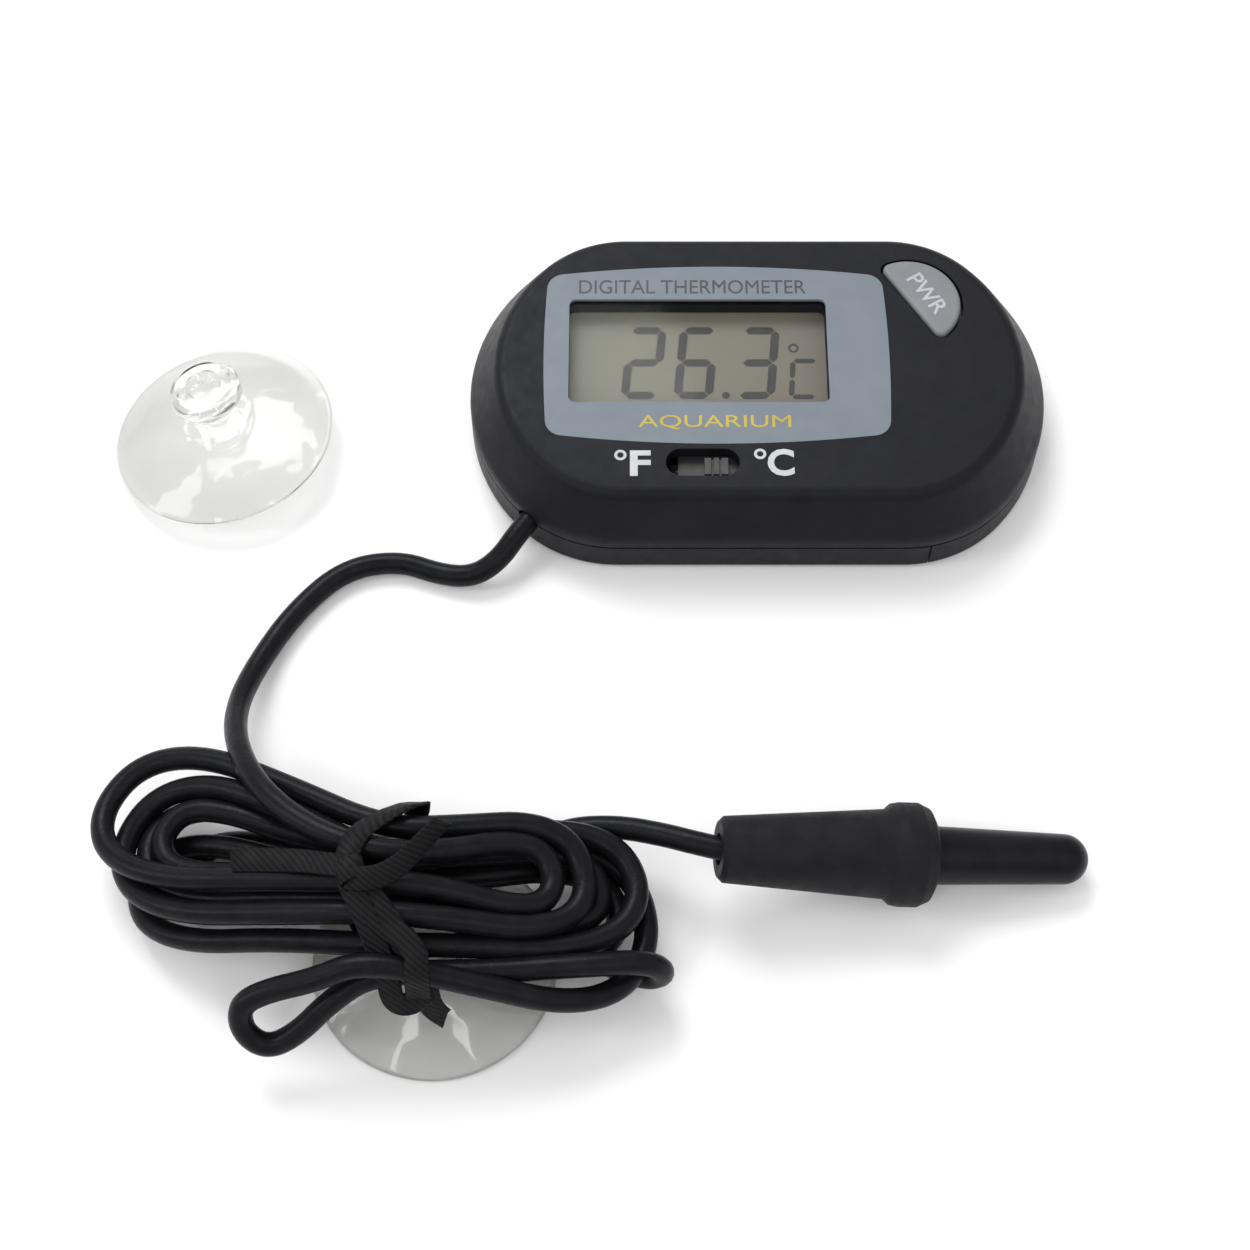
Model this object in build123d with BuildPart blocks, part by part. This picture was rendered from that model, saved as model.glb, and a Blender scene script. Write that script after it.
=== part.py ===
"""Digital aquarium thermometer: a sealed display unit, a lead wound in a tied hank, a probe and two suction cups.

Millimetres. The origin is the centre of the display unit's flat back, X runs along the unit's long side,
Y towards its upper edge and Z out of its face. Everything lies on the plane z = 0.
"""

import os
from math import atan2, cos, degrees, pi, radians, sin, sqrt, tan

from build123d import *

os.makedirs("parts", exist_ok=True)

# ---- housing ----
body_length = 66.0
body_width = 39.5
body_thickness = 12.0
end_radius = 22.0
corner_radius = 15.0
face_length = 59.2
face_width = 34.6
face_end_radius = 19.0
face_corner_radius = 12.8
seam_height = 4.5
seam_gap = 0.24
upright_wall_top = 5.9
wall = 1.5
face_wall = 1.6
floor = 1.4
shoulder_round = 2.4
face_rim_round = 1.5
back_rim_round = 1.0

# ---- display ----
window_length = 29.3
window_width = 14.0
window_x = -6.9
window_y = 1.8
window_corner = 0.8
label_left = -24.0
label_right = 14.3
label_top = 12.1
label_bottom = -9.4
label_bow = 1.3
label_side_bow = 0.4
label_corner = 2.0
label_thickness = 0.4
lens_thickness = 0.7
lens_lap = 1.0
bezel_depth = 1.0
bezel_wall = 1.0
lcd_length = 32.6
lcd_width = 18.6
lcd_face = 9.3
film_thickness = 0.2
glass_thickness = 0.7
fit_gap = 0.1

# ---- unit slider ----
slot_x = -6.6
slot_y = -13.1
slot_length = 8.2
slot_width = 3.5
knob_length = 2.6
knob_width = 2.1
knob_x = -5.1
knob_top = 11.5
knob_ridges = 3
slider_travel = 3.0
slider_plate_length = 8.4
slider_plate_width = 5.0
slider_plate_bottom = 9.5
slider_plate_top = 10.3
switch_length = 9.0
switch_width = 3.8
switch_height = 2.8

# ---- power button: a half disc whose flat side faces the display ----
button_x = 17.35
button_y = 8.25
button_radius = 5.85
button_turn = -57.5
button_corner = 0.9
button_top = 12.35
button_gap = 0.3
button_flange = 0.7
button_travel = 0.6
tact_size = 4.5
tact_height = 2.3
plunger_radius = 1.2

# ---- circuit board, cell and fastenings ----
board_bottom = 4.6
board_thickness = 1.0
cell_radius = 5.8
cell_height = 5.4
cell_x = 22.0
cell_y = -4.2
cell_bottom = 1.6
door_x = 19.0
door_gap = 0.15
screw_places = [(-26.8, 5.5), (-26.8, -5.0), (10.4, 15.0), (12.6, -14.4)]
screw_shaft_radius = 0.78
screw_head_radius = 2.0
screw_head_height = 1.2
boss_radius = 2.3
socket_places = [(-14.0, 0), (8.0, 0)]
socket_radius = 3.1
socket_pocket_radius = 4.5
socket_pocket_top = 3.6

# ---- lead, probe and suction cups ----
cord_diameter = 2.5
cord_radius = cord_diameter / 2
cord_height = 4.3
cord_notch_clearance = 0.12
probe_origin = Vector(-5.6, -57.7, 8.6)
probe_yaw = 2.0
probe_dip = 9.0
sleeve_length = 22.5
sleeve_small_radius = 3.45
sleeve_large_radius = 4.68
sleeve_collar_radius = 5.43
sleeve_collar_length = 5.0
sleeve_mouth_radius = 1.7
sleeve_mouth_depth = 2.5
tip_length = 17.0
tip_root_radius = 3.08
tip_end_radius = 2.65
tip_wall = 0.6
cup_radius = 12.75
free_cup_place = Vector(-61.5, -3.2, 2.0)
free_cup_lean = Vector(-0.131, 0.087, 1.0)
cup_clearance = 0.35
hank_cup_place = Vector(-34.9, -66.9, 0)
hank_cup_lean = Vector(0, 0, 1)


def oval(length, width, end_r, corner_r):
    """A rounded oval: flat long sides, large arcs at the ends and smaller tangent arcs between them."""
    a, b = length / 2, width / 2
    end_x = a - end_r
    corner_x = end_x + sqrt((end_r - corner_r) ** 2 - (b - corner_r) ** 2)
    corner_y = b - corner_r
    split = degrees(atan2(corner_y, corner_x - end_x))
    for side in (1, -1):
        Line((-side * corner_x, side * b), (side * corner_x, side * b))
        turn = 0 if side == 1 else 180
        CenterArc((side * corner_x, side * corner_y), corner_r, turn + split, 90 - split)
        CenterArc((side * end_x, 0), end_r, turn - split, 2 * split)
        CenterArc((side * corner_x, -side * corner_y), corner_r, turn - 90, 90 - split)


def body_oval(inset=0.0):
    """The housing's plan outline, moved inwards by inset."""
    oval(body_length - 2 * inset, body_width - 2 * inset, end_radius - inset, corner_radius - inset)


def face_oval(inset=0.0):
    """The outline of the flat face, moved inwards by inset."""
    oval(
        face_length - 2 * inset,
        face_width - 2 * inset,
        face_end_radius - inset,
        face_corner_radius - inset,
    )


def label_outline(inset=0.0):
    """The grey label: a rectangle whose long edges bow outwards."""
    left, right = label_left + inset, label_right - inset
    top, bottom = label_top - inset, label_bottom + inset
    middle_x, middle_y = (left + right) / 2, (top + bottom) / 2
    ThreePointArc((left, top), (middle_x, top + label_bow), (right, top))
    ThreePointArc((right, top), (right + label_side_bow, middle_y), (right, bottom))
    ThreePointArc((right, bottom), (middle_x, bottom - label_bow), (left, bottom))
    ThreePointArc((left, bottom), (left - label_side_bow, middle_y), (left, top))


def button_plane(height):
    """The power button's plane, with its X along the button's flat side."""
    along = (cos(radians(button_turn)), sin(radians(button_turn)), 0)
    return Plane(origin=(button_x, button_y, height), x_dir=along, z_dir=(0, 0, 1))


def half_disc(margin=0.0):
    """The button's outline before its corners are rounded: a half disc, grown outwards by margin."""
    radius = button_radius + margin
    ThreePointArc((radius, -margin), (0, radius), (-radius, -margin))
    Line((-radius, -margin), (radius, -margin))


def cup_plane(place, lean):
    """A plane that holds the cup's axis as its X and a radius as its Y."""
    axis = lean.normalized()
    radial = Vector(axis.Z, 0, -axis.X).normalized()
    return Plane(origin=place, x_dir=axis, z_dir=axis.cross(radial))


def cup_profile():
    """Half the section of a suction cup: a dimpled head, a neck and a thin concave skirt."""
    rim = cup_radius
    Polyline((3.2, 0), (8.5, 0), (8.5, 1.6), (9.4, 2.1), (9.4, 3.2), (8.7, 3.95), (7.4, 3.95), (6.5, 3.2))
    Polyline((6.5, 3.2), (6.2, 2.6), (5.3, 2.6), (4.8, 4.3), (4.4, 4.6))
    Spline((4.4, 4.6), (2.75, 8.6), (0.7, rim - 0.4))
    Polyline((0.7, rim - 0.4), (0.4, rim), (0, rim - 0.1), (0, rim - 0.5))
    Spline((0, rim - 0.5), (1.85, 7.0), (3.2, 1.2))
    Line((3.2, 1.2), (3.2, 0))


def cup_keep_out():
    """A plain outline just outside the suction cup's section, for what lies on the cup."""
    gap = cup_clearance
    Polyline(
        (-0.5, 0),
        (9.4 + gap, 0),
        (9.4 + gap, 3.95 + gap),
        (5.0 + gap, 3.95 + gap),
        (4.5 + gap, 4.6 + gap),
        (2.85 + gap, 8.6 + gap),
        (0.6 + gap, cup_radius + gap),
        (-0.5, cup_radius + gap),
        close=True,
    )


def probe_plane(distance, side=False):
    """A plane on the probe's axis: across it, or along it with X on the axis when side is true."""
    yaw, dip = radians(probe_yaw), radians(probe_dip)
    axis = Vector(cos(dip) * cos(yaw), cos(dip) * sin(yaw), -sin(dip))
    level = Vector(-sin(yaw), cos(yaw), 0)
    place = probe_origin + axis * distance
    if side:
        return Plane(origin=place, x_dir=axis, z_dir=level)
    return Plane(origin=place, x_dir=level, z_dir=axis)


def fillet_radii(points):
    """For each corner of a route, 0.45 of its shorter run divided by the tangent of half the turn."""
    radii = []
    for before, here, after in zip(points, points[1:], points[2:]):
        run_in, run_out = Vector(here) - Vector(before), Vector(after) - Vector(here)
        half_turn = radians(run_in.get_angle(run_out)) / 2
        radii.append(0.45 * min(run_in.length, run_out.length) / tan(half_turn))
    return radii


def check_route(name, points, solid):
    """Prints a cord tube's corner radii, its length and how its volume compares with section times length."""
    radii = fillet_radii(points)
    with BuildLine(mode=Mode.PRIVATE) as line:
        FilletPolyline(*points, radius=radii)
    length = line.wire().length
    ratio = solid.volume / (pi * cord_radius**2 * length)
    shown = " ".join(f"{r:.1f}" for r in radii)
    print(f"{name}: length {length:.1f}, volume ratio {ratio:.4f}, radii {shown}")


# Where the lead leaves the housing: through the lower left corner arc, square to the wall.
corner_centre_x = body_length / 2 - end_radius + sqrt(
    (end_radius - corner_radius) ** 2 - (body_width / 2 - corner_radius) ** 2
)
corner_centre_y = body_width / 2 - corner_radius
exit_angle = 228.0
exit_direction = Vector(cos(radians(exit_angle)), sin(radians(exit_angle)), 0)
corner_centre = Vector(-corner_centre_x, -corner_centre_y, cord_height)
clamp_distance = 10.4
clamp_half_length = 2.0
clamp_half_width = 2.3
clamp_height = 4.4
notch_start = 12.0
notch_length = 4.0
cord_start = corner_centre + exit_direction * (clamp_distance + clamp_half_length)


def exit_plane(distance):
    """A plane across the lead's path inside the housing wall, at that distance from the corner's centre."""
    return Plane(
        origin=corner_centre + exit_direction * distance,
        x_dir=(-exit_direction.Y, exit_direction.X, 0),
        z_dir=exit_direction,
    )


seam_low = seam_height - seam_gap / 2
seam_high = seam_height + seam_gap / 2
face_inside = body_thickness - face_wall
label_floor = body_thickness - label_thickness
lens_bottom = label_floor - lens_thickness
bezel_bottom = face_inside - bezel_depth
board_top = board_bottom + board_thickness

# ---- front cover ----
with BuildPart() as front_cover:
    with BuildSketch(Plane.XY.offset(seam_high)):
        with BuildLine():
            body_oval()
        make_face()
    extrude(amount=upright_wall_top - seam_high)
    with BuildSketch(Plane.XY.offset(upright_wall_top)):
        with BuildLine():
            body_oval()
        make_face()
    with BuildSketch(Plane.XY.offset(body_thickness)):
        with BuildLine():
            face_oval()
        make_face()
    loft(ruled=True)
    fillet(front_cover.edges().group_by(Axis.Z)[-1], face_rim_round)
    shoulder = front_cover.edges().filter_by_position(Axis.Z, upright_wall_top - 0.05, upright_wall_top + 0.05)
    fillet(shoulder, shoulder_round)
    with BuildSketch(Plane.XY.offset(seam_high)):
        with BuildLine():
            body_oval(wall)
        make_face()
    extrude(amount=upright_wall_top - seam_high, mode=Mode.SUBTRACT)
    with BuildSketch(Plane.XY.offset(upright_wall_top)):
        with BuildLine():
            body_oval(wall)
        make_face()
    with BuildSketch(Plane.XY.offset(face_inside)):
        with BuildLine():
            face_oval(wall)
        make_face()
    loft(ruled=True, mode=Mode.SUBTRACT)
    # screw bosses and the collar round the display window
    with BuildSketch(Plane.XY.offset(board_bottom)):
        with Locations(*screw_places):
            Circle(boss_radius)
    extrude(until=Until.NEXT)
    with BuildSketch(Plane.XY.offset(bezel_bottom)):
        with Locations((window_x, window_y)):
            Rectangle(window_length + 2 * bezel_wall, window_width + 2 * bezel_wall)
    extrude(amount=bezel_depth + 0.2)
    # label pocket, lens pocket and window
    with BuildSketch(Plane.XY.offset(body_thickness)):
        with BuildLine():
            label_outline(-0.05)
        make_face()
        fillet(vertices(), label_corner)
    extrude(amount=-label_thickness, mode=Mode.SUBTRACT)
    with BuildSketch(Plane.XY.offset(label_floor)):
        with Locations((window_x, window_y)):
            Rectangle(window_length + 2 * lens_lap, window_width + 2 * lens_lap)
    extrude(amount=-lens_thickness, mode=Mode.SUBTRACT)
    with BuildSketch(Plane.XY.offset(lens_bottom)):
        with Locations((window_x, window_y)):
            RectangleRounded(window_length, window_width, window_corner)
    extrude(amount=-(lens_bottom - bezel_bottom), mode=Mode.SUBTRACT)
    # slider slot with a stepped edge, and the button's opening
    with BuildSketch(Plane.XY.offset(body_thickness)):
        with Locations((slot_x, slot_y)):
            SlotOverall(slot_length, slot_width)
    extrude(amount=-face_wall - 0.2, mode=Mode.SUBTRACT)
    with BuildSketch(button_plane(body_thickness + 0.1)):
        with BuildLine():
            half_disc(button_gap)
        make_face()
        fillet(vertices(), button_corner + button_gap)
    extrude(amount=-face_wall - 0.4, mode=Mode.SUBTRACT)
    # pilot holes for the case screws, and the lead's half of the notch
    with Locations(*[(x, y, board_bottom) for x, y in screw_places]):
        Cylinder(screw_shaft_radius + 0.04, 8.6, mode=Mode.SUBTRACT)
    with BuildSketch(exit_plane(notch_start)):
        Circle(cord_radius + cord_notch_clearance)
    extrude(amount=notch_length, mode=Mode.SUBTRACT)
front_cover.part.label = "front_cover"
export_step(front_cover.part, "parts/front_cover.step")

# ---- rear cover: a shallow tray that stops at the battery door ----
with BuildPart() as rear_cover:
    with BuildSketch():
        with BuildLine():
            body_oval()
        make_face()
    extrude(amount=seam_low)
    fillet(rear_cover.edges().group_by(Axis.Z)[0], back_rim_round)
    with BuildSketch(Plane.XY.offset(floor)):
        with BuildLine():
            body_oval(wall)
        make_face()
    extrude(amount=seam_low, mode=Mode.SUBTRACT)
    # suction cup sockets, closed inside, and screw bosses
    with BuildSketch(Plane.XY.offset(0.5)):
        with Locations(*socket_places):
            Circle(socket_pocket_radius + 0.8)
    extrude(amount=socket_pocket_top + 0.7 - 0.5)
    with BuildSketch(Plane.XY.offset(0.5)):
        with Locations(*screw_places):
            Circle(boss_radius + 0.7)
    extrude(amount=seam_low - 0.5)
    with BuildSketch(Plane.XY.offset(floor)):
        with Locations(*socket_places):
            Circle(socket_pocket_radius)
    extrude(amount=socket_pocket_top - floor, mode=Mode.SUBTRACT)
    with BuildSketch():
        with Locations(*socket_places):
            Circle(socket_radius)
    extrude(amount=floor, mode=Mode.SUBTRACT)
    with BuildSketch():
        with Locations(*screw_places):
            Circle(screw_head_radius + 0.2)
    extrude(amount=2.0, mode=Mode.SUBTRACT)
    with BuildSketch():
        with Locations(*screw_places):
            Circle(screw_shaft_radius + 0.3)
    extrude(amount=seam_low, mode=Mode.SUBTRACT)
    # the open end, the grooves that guide the door, and the lead's half of the notch
    with Locations((door_x + 20, 0, 0)):
        Box(40, 60, 20, mode=Mode.SUBTRACT)
    with Locations((door_x - 1.5, 0, floor / 2)):
        Box(3.02, 12.3, 0.62, mode=Mode.SUBTRACT)
    with BuildSketch(exit_plane(notch_start)):
        Circle(cord_radius + cord_notch_clearance)
    extrude(amount=notch_length, mode=Mode.SUBTRACT)
rear_cover.part.label = "rear_cover"
export_step(rear_cover.part, "parts/rear_cover.step")

# ---- battery door: the tray's right end, with a tongue that slides into the tray's floor ----
with BuildPart() as battery_door:
    with BuildSketch():
        with BuildLine():
            body_oval()
        make_face()
    extrude(amount=seam_low)
    fillet(battery_door.edges().group_by(Axis.Z)[0], back_rim_round)
    with BuildSketch(Plane.XY.offset(floor)):
        with BuildLine():
            body_oval(wall)
        make_face()
    extrude(amount=seam_low, mode=Mode.SUBTRACT)
    with Locations((door_x + door_gap - 40, 0, 0)):
        Box(80, 60, 20, mode=Mode.SUBTRACT)
    with Locations((door_x, 0, floor / 2)):
        Box(5.6, 12.0, 0.4)
    # grip ribs on the back, cut as shallow grooves
    with Locations(*[(25.0 + 1.6 * i, 0, 0) for i in range(4)]):
        Box(0.7, 11.0 - 1.2, 0.5, mode=Mode.SUBTRACT)
battery_door.part.label = "battery_door"
export_step(battery_door.part, "parts/battery_door.step")

# ---- label, lens and display ----
with BuildPart() as label_plate:
    with BuildSketch(Plane.XY.offset(label_floor)):
        with BuildLine():
            label_outline()
        make_face()
        fillet(vertices(), label_corner)
        with Locations((window_x, window_y)):
            RectangleRounded(window_length, window_width, window_corner, mode=Mode.SUBTRACT)
    extrude(amount=label_thickness)
label_plate.part.label = "label_plate"
export_step(label_plate.part, "parts/label_plate.step")

with BuildPart() as display_lens:
    with BuildSketch(Plane.XY.offset(lens_bottom)):
        with Locations((window_x, window_y)):
            Rectangle(window_length + 2 * lens_lap - fit_gap, window_width + 2 * lens_lap - fit_gap)
    extrude(amount=lens_thickness)
display_lens.part.label = "display_lens"
export_step(display_lens.part, "parts/display_lens.step")

glass_top = lcd_face - film_thickness
with BuildPart() as front_polarizer:
    with Locations((window_x, window_y, glass_top + film_thickness / 2)):
        Box(lcd_length - 2.0, lcd_width - 2.4, film_thickness)
front_polarizer.part.label = "front_polarizer"
export_step(front_polarizer.part, "parts/front_polarizer.step")

with BuildPart() as lcd_front_glass:
    with Locations((window_x, window_y, glass_top - glass_thickness / 2)):
        Box(lcd_length, lcd_width, glass_thickness)
lcd_front_glass.part.label = "lcd_front_glass"
export_step(lcd_front_glass.part, "parts/lcd_front_glass.step")

rear_glass_top = glass_top - glass_thickness
with BuildPart() as lcd_rear_glass:
    with Locations((window_x, window_y, rear_glass_top - glass_thickness / 2)):
        Box(lcd_length, lcd_width, glass_thickness)
lcd_rear_glass.part.label = "lcd_rear_glass"
export_step(lcd_rear_glass.part, "parts/lcd_rear_glass.step")

lcd_bottom = rear_glass_top - glass_thickness
with BuildPart() as reflector_film:
    with Locations((window_x, window_y, lcd_bottom - film_thickness / 2)):
        Box(lcd_length - 2.0, lcd_width - 5.6, film_thickness)
reflector_film.part.label = "reflector_film"
export_step(reflector_film.part, "parts/reflector_film.step")

strip_y = lcd_width / 2 - 1.3
with BuildPart() as connector_strips:
    with Locations((window_x, window_y + strip_y, board_top), (window_x, window_y - strip_y, board_top)):
        Box(lcd_length - 3.0, 1.8, lcd_bottom - board_top, align=(Align.CENTER, Align.CENTER, Align.MIN))
connector_strips.part.label = "connector_strips"
export_step(connector_strips.part, "parts/connector_strips.step")

with BuildPart() as lcd_frame:
    with BuildSketch(Plane.XY.offset(board_top)):
        with Locations((window_x, window_y)):
            Rectangle(lcd_length + 2.0, lcd_width + 2.0)
            Rectangle(lcd_length + 2 * fit_gap, lcd_width + 2 * fit_gap, mode=Mode.SUBTRACT)
    extrude(amount=lcd_face - board_top)
lcd_frame.part.label = "lcd_frame"
export_step(lcd_frame.part, "parts/lcd_frame.step")

# ---- circuit board and what is on it ----
with BuildPart() as circuit_board:
    with BuildSketch(Plane.XY.offset(board_bottom)):
        with BuildLine():
            body_oval(wall + 0.7)
        make_face()
        with Locations((-42.8, 0)):
            Rectangle(40, 50, mode=Mode.SUBTRACT)
        with Locations((-22.8, -19.0)):
            Rectangle(8.6, 20, mode=Mode.SUBTRACT)
        with Locations((38.4, 0)):
            Rectangle(20, 50, mode=Mode.SUBTRACT)
        with Locations((cell_x, cell_y)):
            Circle(cell_radius + 1.6, mode=Mode.SUBTRACT)
        with Locations((cell_x + 10, cell_y - 6.0)):
            Rectangle(20, 12.0 + 2 * cell_radius, mode=Mode.SUBTRACT)
        with Locations(*screw_places):
            Circle(boss_radius + 0.3, mode=Mode.SUBTRACT)
    extrude(amount=board_thickness)
circuit_board.part.label = "circuit_board"
export_step(circuit_board.part, "parts/circuit_board.step")

with BuildPart() as chip_cover:
    with BuildSketch(Plane((-3.0, -9.5, board_bottom), z_dir=(0, 0, -1))):
        Circle(3.4)
    extrude(amount=1.1)
    fillet(chip_cover.edges().group_by(Axis.Z)[0], 0.9)
chip_cover.part.label = "chip_cover"
export_step(chip_cover.part, "parts/chip_cover.step")

resistor_places = [(-8.0, 10.5), (-4.0, 10.5), (0.0, 10.5), (4.0, 10.5), (3.5, -9.5)]
with BuildPart() as chip_resistors:
    with Locations(*[(x, y, board_bottom) for x, y in resistor_places]):
        Box(2.0, 1.25, 0.6, align=(Align.CENTER, Align.CENTER, Align.MAX))
chip_resistors.part.label = "chip_resistors"
export_step(chip_resistors.part, "parts/chip_resistors.step")

with BuildPart() as crystal:
    with BuildSketch(Plane(origin=(-14.5, 12.5, board_bottom - 1.05), x_dir=(0, 1, 0), z_dir=(1, 0, 0))):
        Circle(1.0)
    extrude(amount=6.0)
crystal.part.label = "crystal"
export_step(crystal.part, "parts/crystal.step")

# ---- power button and its switch ----
flange_bottom = face_inside - 0.9
plunger_top = board_top + tact_height + 0.6
tact_x, tact_y = 18.6, 9.3
with BuildPart() as power_button:
    with BuildSketch(button_plane(flange_bottom)):
        with BuildLine():
            half_disc()
        make_face()
        fillet(vertices(), button_corner)
    extrude(amount=button_top - flange_bottom)
    fillet(power_button.edges().group_by(Axis.Z)[-1], 0.45)
    with BuildSketch(button_plane(flange_bottom)):
        with BuildLine():
            half_disc(button_flange)
        make_face()
        fillet(vertices(), button_corner + button_flange)
    extrude(amount=0.8)
    with BuildSketch(Plane((tact_x, tact_y, plunger_top))):
        Circle(1.6)
    extrude(amount=flange_bottom - plunger_top)
power_button.part.label = "power_button"
export_step(power_button.part, "parts/power_button.step")

with BuildPart() as switch_plunger:
    with BuildSketch(Plane((tact_x, tact_y, board_top + 1.3))):
        Circle(plunger_radius)
    extrude(amount=plunger_top - board_top - 1.3)
switch_plunger.part.label = "switch_plunger"
export_step(switch_plunger.part, "parts/switch_plunger.step")

with BuildPart() as switch_base:
    with BuildSketch(Plane((tact_x, tact_y, board_top))):
        RectangleRounded(tact_size, tact_size, 0.5)
    extrude(amount=tact_height)
    with BuildSketch(Plane((tact_x, tact_y, board_top + 0.3))):
        Circle(plunger_radius + 0.1)
    extrude(amount=tact_height, mode=Mode.SUBTRACT)
switch_base.part.label = "switch_base"
export_step(switch_base.part, "parts/switch_base.step")

with BuildPart() as switch_dome:
    with BuildSketch(Plane((tact_x, tact_y, board_top + 0.3))):
        Circle(plunger_radius)
        Circle(0.5, mode=Mode.SUBTRACT)
    extrude(amount=0.2)
switch_dome.part.label = "switch_dome"
export_step(switch_dome.part, "parts/switch_dome.step")

# ---- unit slider and its switch ----
with BuildPart() as unit_slider:
    with Locations((knob_x, slot_y, slider_plate_bottom)):
        Box(
            slider_plate_length,
            slider_plate_width,
            slider_plate_top - slider_plate_bottom,
            align=(Align.CENTER, Align.CENTER, Align.MIN),
        )
    with Locations((knob_x, slot_y - 0.2, slider_plate_top)):
        Box(knob_length, knob_width, knob_top - slider_plate_top, align=(Align.CENTER, Align.CENTER, Align.MIN))
    ridge_pitch = knob_length / knob_ridges
    ridge_places = [(knob_x + (i - 0.5) * ridge_pitch, slot_y - 0.2, knob_top) for i in range(knob_ridges - 1)]
    with Locations(*ridge_places):
        Box(0.3, knob_width, 0.9, mode=Mode.SUBTRACT)
    with Locations((knob_x, slot_y, slider_plate_bottom)):
        Box(2.6, 3.0, 0.5, mode=Mode.SUBTRACT)
unit_slider.part.label = "unit_slider"
export_step(unit_slider.part, "parts/unit_slider.step")

switch_top = board_top + switch_height
with BuildPart() as slide_switch_lever:
    with Locations((knob_x, slot_y, board_top + 1.2)):
        Box(2.4, 2.0, slider_plate_bottom + 0.2 - board_top - 1.2, align=(Align.CENTER, Align.CENTER, Align.MIN))
slide_switch_lever.part.label = "slide_switch_lever"
export_step(slide_switch_lever.part, "parts/slide_switch_lever.step")

with BuildPart() as slide_switch_case:
    with Locations((slot_x, slot_y, board_top)):
        Box(switch_length, switch_width, switch_height, align=(Align.CENTER, Align.CENTER, Align.MIN))
    with Locations((slot_x, slot_y, board_top + 1.0)):
        Box(
            slider_travel + 3.0,
            2.4,
            switch_height,
            align=(Align.CENTER, Align.CENTER, Align.MIN),
            mode=Mode.SUBTRACT,
        )
slide_switch_case.part.label = "slide_switch_case"
export_step(slide_switch_case.part, "parts/slide_switch_case.step")

# ---- cell, its cradle and its contacts ----
with BuildPart() as button_cell:
    with BuildSketch(Plane((cell_x, cell_y, cell_bottom))):
        Circle(cell_radius)
    extrude(amount=cell_height - 0.6)
    fillet(button_cell.edges().group_by(Axis.Z)[0], 0.5)
    with BuildSketch(Plane((cell_x, cell_y, cell_bottom + cell_height - 0.6))):
        Circle(cell_radius - 1.0)
    extrude(amount=0.6)
button_cell.part.label = "button_cell"
export_step(button_cell.part, "parts/button_cell.step")

with BuildPart() as cell_cradle:
    with BuildSketch(Plane((cell_x, cell_y, floor + 0.3))):
        Circle(cell_radius + 1.3)
        Circle(cell_radius + 0.2, mode=Mode.SUBTRACT)
        with Locations((-cell_radius, 0)):
            Rectangle(4.0, 4.4, mode=Mode.SUBTRACT)
    extrude(amount=cell_height - 0.9)
cell_cradle.part.label = "cell_cradle"
export_step(cell_cradle.part, "parts/cell_cradle.step")

with BuildPart() as side_contact:
    with Locations((cell_x - cell_radius - 0.35, cell_y, cell_bottom + 0.4)):
        Box(0.3, 3.6, 3.6, align=(Align.CENTER, Align.CENTER, Align.MIN))
    with Locations((cell_x - cell_radius - 1.25, cell_y, board_top)):
        Box(2.1, 3.6, 0.3, align=(Align.CENTER, Align.CENTER, Align.MIN))
    with Locations((cell_x - cell_radius - 0.35, cell_y, cell_bottom + 3.9)):
        Box(0.3, 3.6, board_top + 0.3 - cell_bottom - 3.9, align=(Align.CENTER, Align.CENTER, Align.MIN))
side_contact.part.label = "side_contact"
export_step(side_contact.part, "parts/side_contact.step")

cell_top = cell_bottom + cell_height
with BuildPart() as top_contact:
    with Locations((cell_x, cell_y + 1.4, cell_top + 0.05)):
        Box(3.2, 12.4, 0.3, align=(Align.CENTER, Align.CENTER, Align.MIN))
    with Locations((cell_x, cell_y + 7.45, board_top)):
        Box(3.2, 0.3, cell_top + 0.2 - board_top, align=(Align.CENTER, Align.CENTER, Align.MIN))
top_contact.part.label = "top_contact"
export_step(top_contact.part, "parts/top_contact.step")

# ---- case screws: one group of four ----
with BuildPart() as case_screws:
    with BuildSketch(Plane.XY.offset(2.0)):
        with Locations(*screw_places):
            Circle(screw_head_radius)
    extrude(amount=-screw_head_height)
    with BuildSketch(Plane.XY.offset(2.0)):
        with Locations(*screw_places):
            Circle(screw_shaft_radius)
    extrude(amount=6.4)
    with Locations(*[(x, y, 2.0 - screw_head_height) for x, y in screw_places]):
        Box(2.6, 0.5, 0.9, mode=Mode.SUBTRACT)
        Box(0.5, 2.6, 0.9, mode=Mode.SUBTRACT)
case_screws.part.label = "case_screws"
export_step(case_screws.part, "parts/case_screws.step")

# ---- the lead's clamp and the two cores that run to the board ----
with BuildPart() as cord_clamp:
    with BuildSketch(exit_plane(clamp_distance - clamp_half_length)):
        Rectangle(2 * clamp_half_width, clamp_height)
        Circle(cord_radius, mode=Mode.SUBTRACT)
    extrude(amount=2 * clamp_half_length)
cord_clamp.part.label = "cord_clamp"
export_step(cord_clamp.part, "parts/cord_clamp.step")

core_radius = 0.45
core_start = corner_centre + exit_direction * 8.0
core_ends = [(-17.2, -8.0, board_bottom), (-17.2, -6.0, board_bottom)]
with BuildPart() as inner_cores:
    for end, shift in zip(core_ends, (0.5, -0.5)):
        first = core_start + Vector(-exit_direction.Y, exit_direction.X, 0) * shift + Vector(0, 0, -0.6)
        low = Vector(end[0], end[1], first.Z - 0.9)
        route = [first, first - exit_direction * 1.6, low, Vector(*end)]
        with BuildLine() as core_line:
            FilletPolyline(*route, radius=0.5)
        with BuildSketch(Plane(origin=core_line.wire() @ 0, z_dir=core_line.wire() % 0)):
            Circle(core_radius)
        sweep(path=core_line.wire())
inner_cores.part.label = "inner_cores"
export_step(inner_cores.part, "parts/inner_cores.step")

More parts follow.
